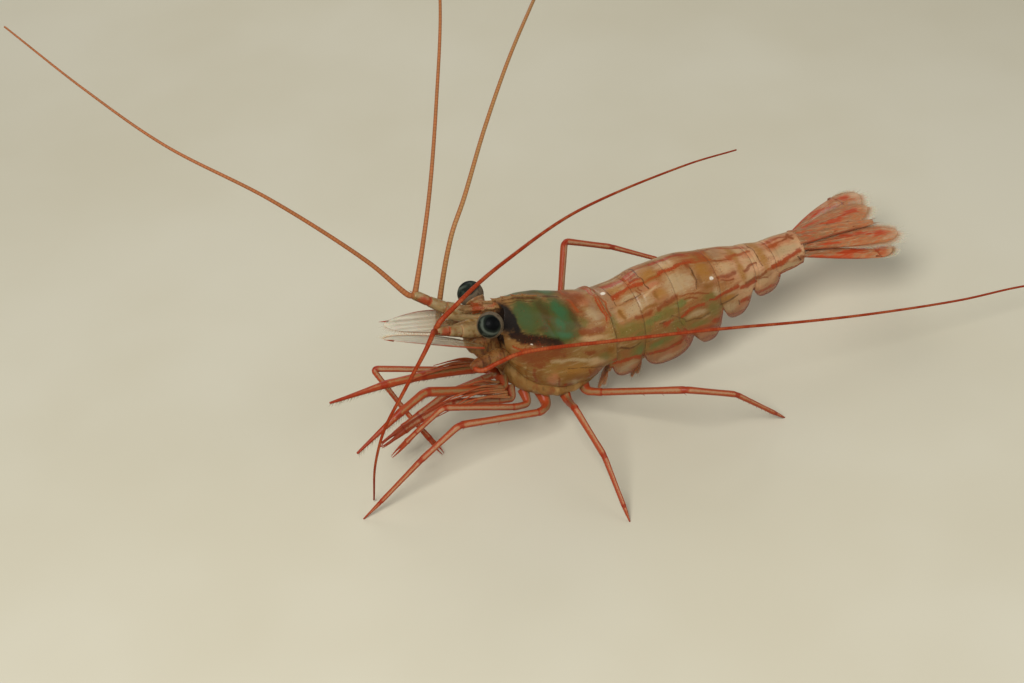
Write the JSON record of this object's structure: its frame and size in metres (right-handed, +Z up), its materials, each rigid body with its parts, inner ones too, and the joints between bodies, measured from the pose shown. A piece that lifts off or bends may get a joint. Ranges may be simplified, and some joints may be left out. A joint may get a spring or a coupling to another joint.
{
  "type": "shrimp",
  "caption": "Life-size still model of a small translucent striped cleaner shrimp, standing on its walking legs with arched back, fanned tail and long feelers spread.",
  "frame": {"origin": "Middle of the whole animal's outline, feelers included, on the floor it stands on.", "axes": "+X runs from the head towards the tail along the body, which the whole outline is also longest in. +Z is up. +Y is the animal's right side."},
  "size_m": [0.1198, 0.0858, 0.0572],
  "materials": {
    "carapace_shell": "wet translucent tan shell with green and turquoise inner patches, red-brown specks and fine lines",
    "tail_shell": "wet translucent beige plates with red and orange-brown cross bands and broken red stripes",
    "flesh": "soft orange-brown body wall and limb bases, slightly wet",
    "eye": "near-black glossy cornea with a blue-grey ring",
    "clear_shell": "thin whitish clear shell with red edges and fine lengthwise lines",
    "limb_shell": "translucent red limb shell with darker edges and joints and a pale middle",
    "feeler_shell": "brown-red ringed feelers, one ring every few tenths of a millimetre",
    "fan_shell": "translucent red-orange blades with clear gaps, dark ribs and fringed rims"
  },
  "bodies": {
    "root": {"carapace": "carapace_shell", "head_base": "flesh", "breast": "flesh", "eye_left": "eye", "eyestalk_left": "clear_shell", "antennule_stalk_left": "clear_shell", "antenna_base_left": "flesh", "antenna_scale_left": "clear_shell", "maxilliped_left": "limb_shell", "eye_right": "eye", "eyestalk_right": "clear_shell", "antennule_stalk_right": "clear_shell", "antenna_base_right": "flesh", "antenna_scale_right": "clear_shell", "maxilliped_right": "limb_shell", "antennule_outer_right": "feeler_shell", "antennule_inner_right": "feeler_shell", "antennule_outer_left": "feeler_shell", "antennule_inner_left": "feeler_shell", "antenna_flagellum_left": "feeler_shell", "antenna_flagellum_right": "feeler_shell", "leg_1_left": "limb_shell", "leg_1_right": "limb_shell", "leg_2_left": "limb_shell", "leg_2_right": "limb_shell", "leg_3_left": "limb_shell", "leg_3_right": "limb_shell", "leg_4_left": "limb_shell", "leg_4_right": "limb_shell", "leg_5_left": "limb_shell", "leg_5_right": "limb_shell", "tail_ring_1": "tail_shell", "tail_ring_2": "tail_shell", "tail_ring_3": "tail_shell", "tail_ring_4": "tail_shell", "tail_ring_5": "tail_shell", "tail_ring_6": "tail_shell", "swimmeret_1_left": "fan_shell", "swimmeret_1_right": "fan_shell", "swimmeret_2_left": "fan_shell", "swimmeret_2_right": "fan_shell", "swimmeret_3_left": "fan_shell", "swimmeret_3_right": "fan_shell", "swimmeret_4_left": "fan_shell", "swimmeret_4_right": "fan_shell", "swimmeret_5_left": "fan_shell", "swimmeret_5_right": "fan_shell", "telson": "fan_shell", "uropod_inner_left": "fan_shell", "uropod_inner_right": "fan_shell", "uropod_outer_left": "fan_shell", "uropod_outer_right": "fan_shell"}
  },
  "joints": []
}
